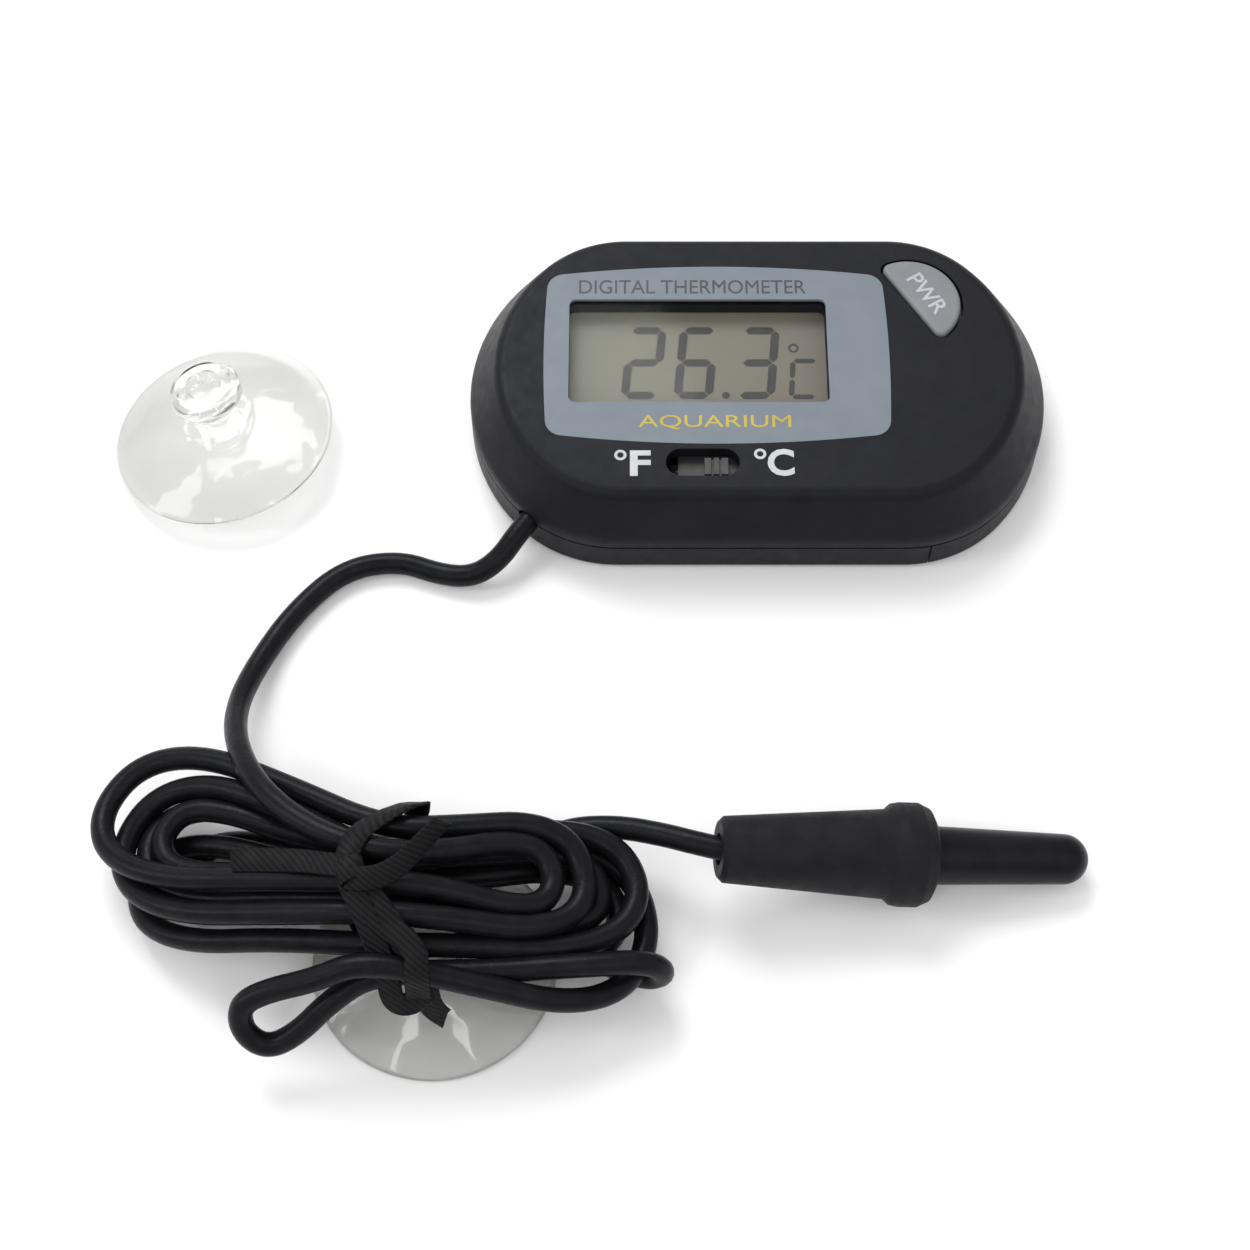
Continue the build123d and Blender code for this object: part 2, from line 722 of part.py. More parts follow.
# ---- probe: a rubber sleeve with a collar, and a closed tip that holds the sensing bead ----
probe_axis = probe_plane(0).z_dir
with BuildPart() as probe_sleeve:
    with BuildSketch(probe_plane(0, side=True)):
        with BuildLine():
            taper_end = sleeve_length - sleeve_collar_length
            Polyline((0, 0), (0, sleeve_small_radius - 0.5), (0.5, sleeve_small_radius))
            Line((0.5, sleeve_small_radius), (taper_end, sleeve_large_radius))
            Polyline(
                (taper_end, sleeve_large_radius),
                (taper_end + 0.7, sleeve_collar_radius - 0.15),
                (taper_end + 1.5, sleeve_collar_radius),
                (sleeve_length - 1.6, sleeve_collar_radius),
                (sleeve_length - 0.5, sleeve_collar_radius - 0.5),
                (sleeve_length, sleeve_collar_radius - 1.4),
                (sleeve_length, 0),
                (0, 0),
            )
        make_face()
    revolve(axis=Axis(probe_origin, probe_axis))
    with BuildSketch(probe_plane(0)):
        Circle(sleeve_mouth_radius)
    extrude(amount=sleeve_mouth_depth, mode=Mode.SUBTRACT)
    with BuildSketch(probe_plane(0)):
        Circle(cord_radius)
    extrude(amount=12.0, mode=Mode.SUBTRACT)
    with BuildSketch(probe_plane(12.0)):
        Circle(tip_root_radius)
    extrude(amount=12.0, mode=Mode.SUBTRACT)
probe_sleeve.part.label = "probe_sleeve"
export_step(probe_sleeve.part, "parts/probe_sleeve.step")

tip_end = sleeve_length + tip_length
dome_start = tip_end - tip_end_radius
with BuildPart() as probe_tip:
    with BuildSketch(probe_plane(0, side=True)):
        with BuildLine():
            Line((12.0, 0), (12.0, tip_root_radius))
            Line((12.0, tip_root_radius), (sleeve_length, tip_root_radius))
            Line((sleeve_length, tip_root_radius), (dome_start, tip_end_radius))
            CenterArc((dome_start, 0), tip_end_radius, 0, 90)
            Line((tip_end, 0), (12.0, 0))
        make_face()
    revolve(axis=Axis(probe_origin, probe_axis))
    with BuildSketch(probe_plane(12.0)):
        Circle(tip_end_radius - tip_wall)
    extrude(amount=dome_start - 12.0, mode=Mode.SUBTRACT)
probe_tip.part.label = "probe_tip"
export_step(probe_tip.part, "parts/probe_tip.step")

with BuildPart() as sensing_bead:
    with Locations(probe_plane(dome_start - 2.2)):
        Sphere(1.2)
sensing_bead.part.label = "sensing_bead"
export_step(sensing_bead.part, "parts/sensing_bead.step")

with BuildPart() as bead_wires:
    with BuildSketch(probe_plane(13.0)):
        with Locations((-0.55, 0), (0.55, 0)):
            Circle(0.25)
    extrude(amount=dome_start - 2.2 - 1.15 - 13.0)
bead_wires.part.label = "bead_wires"
export_step(bead_wires.part, "parts/bead_wires.step")

# ---- lead: from the housing round to the hank, and from the hank to the probe ----
body_route = [
    tuple(cord_start),
    (-27.2, -17.0, 4.2),
    (-29.4, -20.2, 3.0),
    (-32.5, -22.0, 1.8),
    (-36.3, -21.8, 1.3),
    (-40.6, -19.9, 1.3),
    (-46.8, -20.6, 1.3),
    (-52.0, -25.8, 1.3),
    (-55.6, -32.2, 1.5),
    (-57.4, -38.9, 2.9),
    (-57.0, -45.8, 5.6),
]
probe_entry = probe_origin + probe_axis * 0.6
probe_route = [
    (-23.8, -56.1, 4.4),
    (-19.9, -54.0, 5.3),
    (-15.2, -53.9, 6.3),
    (-11.0, -55.6, 7.6),
    (-8.2, -56.9, 8.5),
    (probe_entry.X, probe_entry.Y, probe_entry.Z),
]

with BuildPart() as cord_body_run:
    with BuildLine() as body_line:
        FilletPolyline(*body_route, radius=fillet_radii(body_route))
    with BuildSketch(Plane(origin=body_line.wire() @ 0, z_dir=body_line.wire() % 0)):
        Circle(cord_radius)
    sweep(path=body_line.wire())
cord_body_run.part.label = "cord_body_run"
export_step(cord_body_run.part, "parts/cord_body_run.step")
check_route("cord_body_run", body_route, cord_body_run.part)

with BuildPart() as cord_probe_run:
    with BuildLine() as probe_line:
        FilletPolyline(*probe_route, radius=fillet_radii(probe_route))
    with BuildSketch(Plane(origin=probe_line.wire() @ 0, z_dir=probe_line.wire() % 0)):
        Circle(cord_radius)
    sweep(path=probe_line.wire())
cord_probe_run.part.label = "cord_probe_run"
export_step(cord_probe_run.part, "parts/cord_probe_run.step")
check_route("cord_probe_run", probe_route, cord_probe_run.part)

# ---- suction cups ----
with BuildPart() as suction_cup_free:
    with BuildSketch(cup_plane(free_cup_place, free_cup_lean)):
        with BuildLine():
            cup_profile()
        make_face()
    revolve(axis=Axis(free_cup_place, free_cup_lean))
suction_cup_free.part.label = "suction_cup_free"
export_step(suction_cup_free.part, "parts/suction_cup_free.step")

with BuildPart() as suction_cup_hank:
    with BuildSketch(cup_plane(hank_cup_place, hank_cup_lean)):
        with BuildLine():
            cup_profile()
        make_face()
    revolve(axis=Axis(hank_cup_place, hank_cup_lean))
suction_cup_hank.part.label = "suction_cup_hank"
export_step(suction_cup_hank.part, "parts/suction_cup_hank.step")

# ---- hank: two flattened lobes and a raised waist that lies on the second cup, and its tie ----
hank_bottom = 0.2
hank_lobes = [
    # centre, half length, half width, turn, bottom, top
    ((-57.4, -54.8), 14.9, 11.2, -12.0, hank_bottom, 9.0),
    ((-24.6, -64.6), 13.6, 10.4, -12.0, hank_bottom, 12.8),
    ((-40.0, -62.6), 8.0, 6.9, 0.0, 5.8, 14.2),
]
with BuildPart() as cord_hank:
    for centre, half_length, half_width, turn, low, high in hank_lobes:
        with BuildSketch(Plane(centre + (low,))):
            Ellipse(half_length, half_width, rotation=turn)
        extrude(amount=high - low)
    with BuildSketch(Plane((-47.9, -69.8, hank_bottom))):
        SlotCenterToCenter(11.0, 7.0, rotation=40.0)
    extrude(amount=6.6)
    with BuildSketch(cup_plane(hank_cup_place, hank_cup_lean)):
        with BuildLine():
            cup_keep_out()
        make_face()
    revolve(axis=Axis(hank_cup_place, hank_cup_lean), mode=Mode.SUBTRACT)
cord_hank.part.label = "cord_hank"
export_step(cord_hank.part, "parts/cord_hank.step")

tie_width = 2.6
tie_thickness = 0.8
waist_centre_y, waist_half_width, waist_low, waist_high = -62.6, 6.9, 5.8, 14.2
with BuildPart() as cord_tie:
    ring_plane = Plane(
        origin=(-40.0 - tie_width / 2, waist_centre_y, (waist_low + waist_high) / 2),
        x_dir=(0, 1, 0),
        z_dir=(1, 0, 0),
    )
    with BuildSketch(ring_plane):
        Rectangle(2 * waist_half_width + 2 * tie_thickness, waist_high - waist_low + 2 * tie_thickness)
        Rectangle(2 * waist_half_width + 0.1, waist_high - waist_low + 0.1, mode=Mode.SUBTRACT)
    extrude(amount=tie_width)
cord_tie.part.label = "cord_tie"
export_step(cord_tie.part, "parts/cord_tie.step")
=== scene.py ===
"""Looks of the digital aquarium thermometer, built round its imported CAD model. Lengths are in metres."""

import math

import bmesh
import bpy
import numpy as np
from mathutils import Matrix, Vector


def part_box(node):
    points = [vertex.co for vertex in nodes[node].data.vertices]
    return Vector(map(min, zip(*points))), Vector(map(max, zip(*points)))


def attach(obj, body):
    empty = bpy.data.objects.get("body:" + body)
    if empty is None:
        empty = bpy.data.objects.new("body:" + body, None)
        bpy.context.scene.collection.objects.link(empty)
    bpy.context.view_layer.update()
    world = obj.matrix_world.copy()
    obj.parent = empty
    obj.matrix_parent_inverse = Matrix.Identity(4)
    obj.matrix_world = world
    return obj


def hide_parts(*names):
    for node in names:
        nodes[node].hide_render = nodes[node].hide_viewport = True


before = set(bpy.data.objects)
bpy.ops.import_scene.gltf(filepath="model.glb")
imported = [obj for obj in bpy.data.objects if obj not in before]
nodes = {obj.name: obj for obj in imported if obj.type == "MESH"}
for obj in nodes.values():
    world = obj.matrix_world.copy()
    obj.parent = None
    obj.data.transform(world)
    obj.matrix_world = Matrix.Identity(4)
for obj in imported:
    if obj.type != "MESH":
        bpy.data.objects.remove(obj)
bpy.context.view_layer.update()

MM = 0.001
CORD_RADIUS = 1.25 * MM


def mm(*values):
    """A point given in millimetres, in metres."""
    return Vector(values) * MM


# ---------------------------------------------------------------- camera, light and floor

LENS_LENGTH, SENSOR_WIDTH = 68.46, 36.0  # millimetres
VIEW_DOWN = 62  # degrees
FLOOR_HALF = 3.0
FLOOR_HEIGHT = -0.00005
FLOOR_WHITE = (0.93, 0.93, 0.93, 1)
SURROUND_STRENGTH = 0.72
SOFTBOXES = {
    # name: place, target, size, watts
    "key": ((-0.2, 0.42, 0.6), (0, -0.02, 0), (0.4, 0.35), 3.4),
    "fill": ((0.5, -0.3, 0.6), (0, -0.02, 0), (0.6, 0.6), 0.5),
    "window": ((-0.5, -0.1, 0.35), (-0.03, -0.04, 0), (0.12, 0.4), 0.7),
    "left_pane": ((-0.3, -0.46, 0.6), (-0.035, -0.067, 0), (0.06, 0.34), 0.5),
    "right_pane": ((0.17, -0.46, 0.64), (-0.035, -0.067, 0), (0.045, 0.3), 0.35),
}


def make_camera():
    """Looks along +Y and 62 degrees down, from about a quarter of a metre away."""
    data = bpy.data.cameras.new("camera")
    data.lens = LENS_LENGTH
    data.sensor_width = SENSOR_WIDTH
    data.clip_start = 0.01
    camera = bpy.data.objects.new("camera", data)
    bpy.context.scene.collection.objects.link(camera)
    camera.location = mm(-15.19, -151.94, 234.86)
    camera.rotation_euler = (math.radians(90 - VIEW_DOWN), 0, 0)
    bpy.context.scene.camera = camera


def area_light(name, place, target, size, power):
    """A rectangular softbox that points at the target."""
    data = bpy.data.lights.new(name, "AREA")
    data.shape = "RECTANGLE"
    data.size, data.size_y = size
    data.energy = power
    light = bpy.data.objects.new(name, data)
    light.location = place
    light.rotation_euler = (Vector(target) - Vector(place)).to_track_quat("-Z", "Y").to_euler()
    bpy.context.scene.collection.objects.link(light)


def make_stage():
    """A pale floor, an even pale surround and five softboxes."""
    mesh = bpy.data.meshes.new("floor")
    corners = [(-1, -1), (1, -1), (1, 1), (-1, 1)]
    mesh.from_pydata([(x * FLOOR_HALF, y * FLOOR_HALF, FLOOR_HEIGHT) for x, y in corners], [], [(0, 1, 2, 3)])
    floor = bpy.data.objects.new("floor", mesh)
    bpy.context.scene.collection.objects.link(floor)
    paint = bpy.data.materials.new("floor_paint")
    paint.use_nodes = True
    shader = paint.node_tree.nodes["Principled BSDF"]
    shader.inputs["Base Color"].default_value = FLOOR_WHITE
    shader.inputs["Roughness"].default_value = 0.9
    shader.inputs["Specular IOR Level"].default_value = 0.1
    mesh.materials.append(paint)
    world = bpy.data.worlds.new("surround")
    world.use_nodes = True
    background = world.node_tree.nodes["Background"]
    background.inputs["Color"].default_value = (1, 1, 1, 1)
    background.inputs["Strength"].default_value = SURROUND_STRENGTH
    bpy.context.scene.world = world
    for name, (place, target, size, power) in SOFTBOXES.items():
        area_light(name, place, target, size, power)
    bpy.context.scene.view_settings.view_transform = "Standard"


# ---------------------------------------------------------------- the lead


def spline_points(control, per_span=8):
    """Points of the clamped quadratic NURBS of these control points, and the matrix that gives them.

    a, b and c are the shares of the three control points that shape a span. The first and the last span have
    shares of their own, which is what makes the line begin and end at a control point.
    """
    count = len(control)
    spans = count - 2
    rows = []
    for span in range(spans):
        last = span == spans - 1
        for step in range(per_span + (1 if last else 0)):
            t = step / per_span
            a, b, c = 0.5 * (1 - t) ** 2, 0.5 * (1 + 2 * t - 2 * t * t), 0.5 * t * t
            if span == 0:
                a, b = (1 - t) ** 2, 1 - (1 - t) ** 2 - c
            if last:
                c = t * t
                a = 0.5 * (1 - t) ** 2 if spans > 1 else (1 - t) ** 2
                b = 1 - a - c
            row = np.zeros(count)
            row[span : span + 3] += (a, b, c)
            rows.append(row)
    weights = np.array(rows)
    return weights @ control, weights


# The lead's route from the clamp inside the housing to the hank, and from the hank to the probe, in millimetres.
BODY_ROUTE = [
    (-24.44, -13.96, 4.3),
    (-27.0, -17.2, 4.2),
    (-29.2, -20.3, 3.0),
    (-32.2, -21.9, 1.8),
    (-36.0, -21.3, 1.25),
    (-40.6, -19.5, 1.25),
    (-46.8, -20.6, 1.25),
    (-51.9, -25.9, 1.25),
    (-55.4, -32.2, 1.6),
    (-57.2, -39.2, 4.2),
    (-56.0, -46.2, 9.0),
    (-52.6, -52.8, 11.8),
    (-47.0, -57.9, 13.2),
]
PROBE_ROUTE = [
    (-34.0, -56.6, 3.6),
    (-28.6, -56.6, 3.8),
    (-24.6, -55.4, 4.6),
    (-20.8, -54.0, 5.4),
    (-15.8, -54.2, 6.3),
    (-11.0, -55.7, 7.6),
    (-8.2, -56.9, 8.5),
    (-5.02, -57.68, 8.51),
]

# The hank, in millimetres: where each pass crosses the tied waist (y, z), the tip (x, y, z) of the loop that
# follows it, how far that loop swells towards +y on its way out and on its way back, how much of the swelling
# is near its tip, and its tilt in degrees, which lifts the +y side.
WAIST_X = -40.0
HANK = [
    # crossing y, z     tip x, y, z            out, back, bulb, tilt
    ((-60.6, 13.3), (-22.6, -62.0, 8.0), 3.4, -3.0, 2.2, 0),
    ((-63.9, 13.3), (-70.2, -52.0, 4.8), -5.4, 6.8, 1.4, 0),
    ((-57.0, 11.4), (-19.4, -62.4, 7.2), 4.2, -2.8, 1.7, 0),
    ((-66.6, 13.2), (-67.7, -55.8, 4.4), -4.8, 6.4, 1.3, 0),
    ((-59.2, 11.0), (-17.0, -62.4, 6.6), 4.4, -3.0, 1.7, 0),
    ((-61.7, 11.0), (-63.2, -55.0, 5.8), -3.2, 3.8, 2.2, 0),
    ((-58.4, 8.8), (-13.4, -61.6, 6.8), 4.2, -3.6, 1.7, 0),
    ((-68.3, 11.0), (-66.4, -57.8, 2.6), -4.6, 3.6, 1.7, 0),
    ((-60.9, 8.8), (-14.9, -62.8, 4.4), 4.6, -4.8, 1.7, 0),
    ((-64.8, 10.9), (-65.4, -56.2, 3.4), -3.8, 4.0, 1.7, 0),
    ((-57.4, 6.5), (-12.6, -65.6, 3.2), 5.4, -5.0, 1.7, 0),
    ((-70.8, 10.6), (-51.8, -76.8, 4.0), 2.0, -2.0, 3.0, 50),
    ((-72.2, 8.4), (-10.9, -70.2, 4.9), 3.2, -3.6, 3.0, 68),
    ((-60.4, 6.4), (-61.6, -57.2, 1.6), -3.2, 3.2, 2.2, 0),
    ((-57.4, 4.2), None, None, None, None, None),
]
LOOP_STEPS = 8
TIP_RISE = 1.3  # the higher, the later a loop leaves the waist's height


def hank_controls():
    """The hank's control points: flattened, pinched loops, by turns right and left of the waist."""
    points = []
    for (crossing, tip, swell_out, swell_back, bulb, tilt), (next_crossing, *_) in zip(HANK, HANK[1:]):
        start = np.array((WAIST_X, *crossing))
        end = np.array((WAIST_X, *next_crossing))
        reach = np.array(tip) - (start + end) / 2
        side = np.array((-reach[1], reach[0], 0.0))
        side *= math.copysign(math.cos(math.radians(tilt)), side[1]) / np.linalg.norm(side)
        lift = math.sin(math.radians(tilt))
        # the largest value of out**bulb * across, below
        widest = (bulb / (1 + bulb)) ** (bulb / 2) / (1 + bulb) ** 0.5
        points.append(start)
        for step in range(1, LOOP_STEPS):
            u = step / LOOP_STEPS
            out, across = math.sin(math.pi * u), math.cos(math.pi * u)
            swell = swell_out * max(across, 0) + swell_back * max(-across, 0)
            swell *= out**bulb / widest
            point = start * (1 - u) + end * u + reach * out + side * swell
            rise = out**TIP_RISE
            point[2] = (start[2] * (1 - u) + end[2] * u) * (1 - rise) + tip[2] * rise + lift * swell
            points.append(point)
    points.append(np.array((WAIST_X, *HANK[-1][0])))
    return points


# The suction cup under the hank, in millimetres: its axis, its head, and its skirt's height by the distance
# from the axis.
CUP_CENTRE = np.array((-34.9, -66.9))
CUP_HEAD_RADIUS = 3.95
CUP_HEAD_TOP = 9.4
CUP_HEAD_ROUNDING = 2.0
CUP_DISTANCES = (0, 4.6, 8.6, 12.4, 12.8, 13.0)
CUP_HEIGHTS = (4.4, 4.4, 2.75, 0.7, 0.4, -5.0)

# How far apart two points of the lead have to be, by the length of lead between them, in millimetres: its
# folds stay round and its strands stay clear of each other.
LEAD_BETWEEN = (0.0, 2.4, 2.5, 4.0, 6.0, 8.0, 10.4, 17.0)
LEAST_GAP = (0.0, 0.0, 2.44, 3.76, 5.2, 6.17, 6.7, 2.53)

# How much of each correction a round of settling makes.
SETTLE_ROUNDS = 180
STRAND_SHARE = 1.6
SKIRT_SHARE = 0.6
HEAD_SHARE = 0.5
SMOOTHING = 0.25
RETURN_SHARE = 0.004
EASED_ENDS = 3  # control points at either end of the hank that move less
SETTLE_STEPS = 5  # points per span of the line


def push_off_cup(push, line, radius):
    """Adds to push how far the cup under the waist moves each point of the line."""
    from_axis = line[:, :2] - CUP_CENTRE
    away = np.linalg.norm(from_axis, axis=1)
    low = np.interp(away, CUP_DISTANCES, CUP_HEIGHTS) + radius - line[:, 2]
    push[:, 2] += np.maximum(low, 0) * SKIRT_SHARE
    near = away < CUP_HEAD_RADIUS + radius
    under = near & (line[:, 2] < CUP_HEAD_TOP + radius)
    aside = under & (line[:, 2] < CUP_HEAD_TOP - CUP_HEAD_ROUNDING)
    above = under & ~aside
    push[above, 2] += (CUP_HEAD_TOP + radius - line[above, 2]) * HEAD_SHARE
    outward = from_axis / np.maximum(away, 1e-6)[:, None]
    push[aside, :2] += outward[aside] * ((CUP_HEAD_RADIUS + radius - away[aside]) * HEAD_SHARE)[:, None]


def settle(control, first, last):
    """Moves the hank's control points until its strands lie beside each other, on the floor and the cup.

    In each round every point of the line is pushed off the points it is too close to, by the mean of half the
    overlaps, then off the cup and the floor. The control points follow, and stay close to a smooth course.
    """
    radius = CORD_RADIUS / MM
    rest = control.copy()
    free = np.zeros(len(control))
    free[first:last] = 1.0
    for i in range(EASED_ENDS):
        free[first + i] = (i + 1) / (EASED_ENDS + 1)
        free[last - 1 - i] = (i + 1) / (EASED_ENDS + 1)
    _, weights = spline_points(control, SETTLE_STEPS)
    share = weights / np.maximum(weights.sum(0), 1e-9)
    for _ in range(SETTLE_ROUNDS):
        line = weights @ control
        gap = line[:, None, :] - line[None, :, :]
        distance = np.linalg.norm(gap, axis=2)
        along = np.concatenate(([0], np.cumsum(np.linalg.norm(np.diff(line, axis=0), axis=1))))
        needed = np.interp(np.abs(along[:, None] - along[None, :]), LEAD_BETWEEN, LEAST_GAP)
        depth = np.maximum(needed - distance, 0.0)
        push = (gap / np.maximum(distance, 1e-6)[:, :, None] * depth[:, :, None]).sum(1)
        push *= 0.5 / np.maximum((depth > 0).sum(1), 1)[:, None] * STRAND_SHARE
        push_off_cup(push, line, radius)
        push[:, 2] += np.maximum(radius - line[:, 2], 0)
        move = share.T @ push
        bend = np.zeros_like(control)
        offset = control - rest
        bend[1:-1] = (offset[:-2] + offset[2:]) / 2 - offset[1:-1]
        control = control + free[:, None] * (move + SMOOTHING * bend - RETURN_SHARE * offset)
        control[:, 2] = np.maximum(control[:, 2], radius)
    return control


def cord_route():
    """All control points of the lead, with its hank settled."""
    hank = hank_controls()
    points = np.array(BODY_ROUTE + [tuple(p) for p in hank] + PROBE_ROUTE)
    first, last = len(BODY_ROUTE), len(BODY_ROUTE) + len(hank)
    return settle(points, first - 2, last + 1) * MM


def nurbs_tube(name, points, radius):
    """A round tube along one smooth open NURBS line."""
    data = bpy.data.curves.new(name, "CURVE")
    data.dimensions = "3D"
    spline = data.splines.new("NURBS")
    spline.points.add(len(points) - 1)
    for target, point in zip(spline.points, points):
        target.co = (*point, 1.0)
        target.radius = radius
    spline.order_u = 3
    spline.use_endpoint_u = True
    data.resolution_u = 8
    # The points' radius gives the size, because a point radius of 1 would widen the curve's box by a metre.
    data.bevel_depth = 1.0
    data.bevel_resolution = 6
    data.use_fill_caps = True
    tube = bpy.data.objects.new(name, data)
    bpy.context.scene.collection.objects.link(tube)
    return tube


make_camera()
make_stage()
route = cord_route()
lead = nurbs_tube("lead", route, CORD_RADIUS)
strands = spline_points(route)[0] / MM
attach(lead, "root")
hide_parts("cord_body_run", "cord_hank", "cord_probe_run")

# ---------------------------------------------------------------- materials

WHITE = (1, 1, 1)
COOL = (0.86, 0.89, 1.0)
NOISE_RANGE = (0.35, 0.65)  # where most of a noise texture's values lie


def new_material(name):
    """A material with its node tree, its shader and an object coordinate source."""
    material = bpy.data.materials.new(name)
    material.use_nodes = True
    tree = material.node_tree
    place = tree.nodes.new("ShaderNodeTexCoord")
    return material, tree, tree.nodes["Principled BSDF"], place.outputs["Object"]


def noise(tree, place, scale, detail=3.0, roughness=0.5):
    """A noise texture's value at that many features per metre."""
    node = tree.nodes.new("ShaderNodeTexNoise")
    node.inputs["Scale"].default_value = scale
    node.inputs["Detail"].default_value = detail
    node.inputs["Roughness"].default_value = roughness
    tree.links.new(place, node.inputs["Vector"])
    return node.outputs["Fac"]


def ramp(tree, value, low, high, places=NOISE_RANGE):
    """Colours a value from low to high between two places of its range."""
    node = tree.nodes.new("ShaderNodeValToRGB")
    for stop, place, colour in zip(node.color_ramp.elements, places, (low, high)):
        stop.position = place
        stop.color = (*colour, 1)
    tree.links.new(value, node.inputs["Fac"])
    return node.outputs["Color"]


def spread(tree, value, low, high):
    """Maps a value of 0.3 to 0.7 onto low to high."""
    node = tree.nodes.new("ShaderNodeMapRange")
    node.inputs["From Min"].default_value = 0.3
    node.inputs["From Max"].default_value = 0.7
    node.inputs["To Min"].default_value = low
    node.inputs["To Max"].default_value = high
    tree.links.new(value, node.inputs["Value"])
    return node.outputs["Result"]


def bump(tree, shader, height, distance):
    """Roughens a shader's surface by a height value, over that distance in metres."""
    node = tree.nodes.new("ShaderNodeBump")
    node.inputs["Distance"].default_value = distance
    node.inputs["Strength"].default_value = 1.0
    tree.links.new(height, node.inputs["Height"])
    tree.links.new(node.outputs["Normal"], shader.inputs["Normal"])


def moulded(
    name, dark, light, rough, grain, depth, mottle=300.0, gloss=0.5, coat=0.0, metallic=0.0, sheen=WHITE
):
    """Moulded plastic, rubber or metal: mottled colour, uneven roughness and a fine grain.

    grain and mottle are features per metre, depth is the grain's height in metres, rough is the range of
    roughness, and gloss and sheen are the reflection's strength and tint.
    """
    material, tree, shader, place = new_material(name)
    patches = noise(tree, place, mottle, 4.0)
    tree.links.new(ramp(tree, patches, dark, light), shader.inputs["Base Color"])
    tree.links.new(spread(tree, noise(tree, place, mottle * 2.3), *rough), shader.inputs["Roughness"])
    bump(tree, shader, noise(tree, place, grain, 2.0, 0.6), depth)
    shader.inputs["Specular IOR Level"].default_value = gloss
    shader.inputs["Specular Tint"].default_value = (*sheen, 1.0)
    shader.inputs["Coat Weight"].default_value = coat
    shader.inputs["Coat Roughness"].default_value = 0.2
    shader.inputs["Metallic"].default_value = metallic
    return material


def clear_pvc(name, tint):
    """Soft clear PVC: it bends what is behind it, with glossy highlights and faint flow marks."""
    material, tree, shader, place = new_material(name)
    darker = tuple(0.95 * c for c in tint)
    tree.links.new(ramp(tree, noise(tree, place, 130.0), tint, darker), shader.inputs["Base Color"])
    tree.links.new(spread(tree, noise(tree, place, 400.0), 0.04, 0.12), shader.inputs["Roughness"])
    bump(tree, shader, noise(tree, place, 160.0, 2.0), 0.00035)
    shader.inputs["IOR"].default_value = 1.45
    shader.inputs["Transmission Weight"].default_value = 1.0
    return material


def clear_lens(name):
    """Clear acrylic: little more than its reflection shows."""
    material, tree, shader, place = new_material(name)
    low, high = (0.02, 0.022, 0.024), (0.03, 0.032, 0.034)
    tree.links.new(ramp(tree, noise(tree, place, 90.0), low, high), shader.inputs["Base Color"])
    tree.links.new(spread(tree, noise(tree, place, 300.0), 0.03, 0.07), shader.inputs["Roughness"])
    shader.inputs["Alpha"].default_value = 0.05
    return material


def lcd_film(name):
    """The display's grey-green film with painted shade: it turns a little warmer and darker to the right, away
    from the light on the left.
    """
    material, tree, shader, place = new_material(name)
    split = tree.nodes.new("ShaderNodeSeparateXYZ")
    tree.links.new(place, split.inputs["Vector"])
    across = tree.nodes.new("ShaderNodeMapRange")
    across.inputs["From Min"].default_value = -0.022
    across.inputs["From Max"].default_value = 0.008
    tree.links.new(split.outputs["X"], across.inputs["Value"])
    # painted shade: the film's colour runs from a lit left to a darker, warmer right
    left, right = (0.205, 0.208, 0.162), (0.19, 0.17, 0.14)
    tree.links.new(ramp(tree, across.outputs["Result"], left, right, (0.1, 1.0)), shader.inputs["Base Color"])
    tree.links.new(spread(tree, noise(tree, place, 500.0), 0.3, 0.42), shader.inputs["Roughness"])
    shader.inputs["Specular IOR Level"].default_value = 0.22
    return material


def ribbed_ribbon(name):
    """Black plastic ribbon with a fine diagonal rib."""
    material, tree, shader, place = new_material(name)
    wave = tree.nodes.new("ShaderNodeTexWave")
    wave.bands_direction = "DIAGONAL"
    wave.inputs["Scale"].default_value = 700.0
    wave.inputs["Distortion"].default_value = 0.6
    tree.links.new(place, wave.inputs["Vector"])
    low, high = (0.003, 0.003, 0.004), (0.009, 0.009, 0.010)
    tree.links.new(ramp(tree, wave.outputs["Fac"], low, high), shader.inputs["Base Color"])
    tree.links.new(spread(tree, noise(tree, place, 700.0), 0.45, 0.65), shader.inputs["Roughness"])
    bump(tree, shader, wave.outputs["Fac"], 0.00005)
    shader.inputs["Specular IOR Level"].default_value = 0.12
    return material


case_black = moulded(
    "case_black", (0.007, 0.007, 0.0085), (0.009, 0.009, 0.011), (0.38, 0.5), 7000.0, 35e-6,
    gloss=0.15, sheen=COOL,
)
lead_black = moulded(
    "lead_black", (0.005, 0.005, 0.006), (0.008, 0.008, 0.009), (0.28, 0.4), 2500.0, 30e-6,
    mottle=500.0, gloss=0.12, sheen=COOL,
)
rubber_black = moulded(
    "rubber_black", (0.008, 0.008, 0.009), (0.012, 0.012, 0.013), (0.45, 0.62), 5200.0, 60e-6,
    mottle=350.0, gloss=0.13, sheen=COOL,
)
tip_black = moulded(
    "tip_black", (0.004, 0.004, 0.005), (0.007, 0.007, 0.008), (0.28, 0.38), 5000.0, 10e-6,
    mottle=400.0, gloss=0.15, sheen=COOL,
)
label_grey = moulded(
    "label_grey", (0.158, 0.183, 0.212), (0.17, 0.196, 0.225), (0.4, 0.5), 9000.0, 6e-6, gloss=0.2
)
button_grey = moulded(
    "button_grey", (0.165, 0.177, 0.19), (0.185, 0.197, 0.21), (0.42, 0.55), 7000.0, 20e-6, gloss=0.4
)
slider_black = moulded(
    "slider_black", (0.012, 0.012, 0.013), (0.018, 0.018, 0.019), (0.35, 0.5), 6000.0, 20e-6
)
inner_black = moulded("inner_black", (0.012, 0.012, 0.013), (0.02, 0.02, 0.02), (0.55, 0.7), 5000.0, 30e-6)
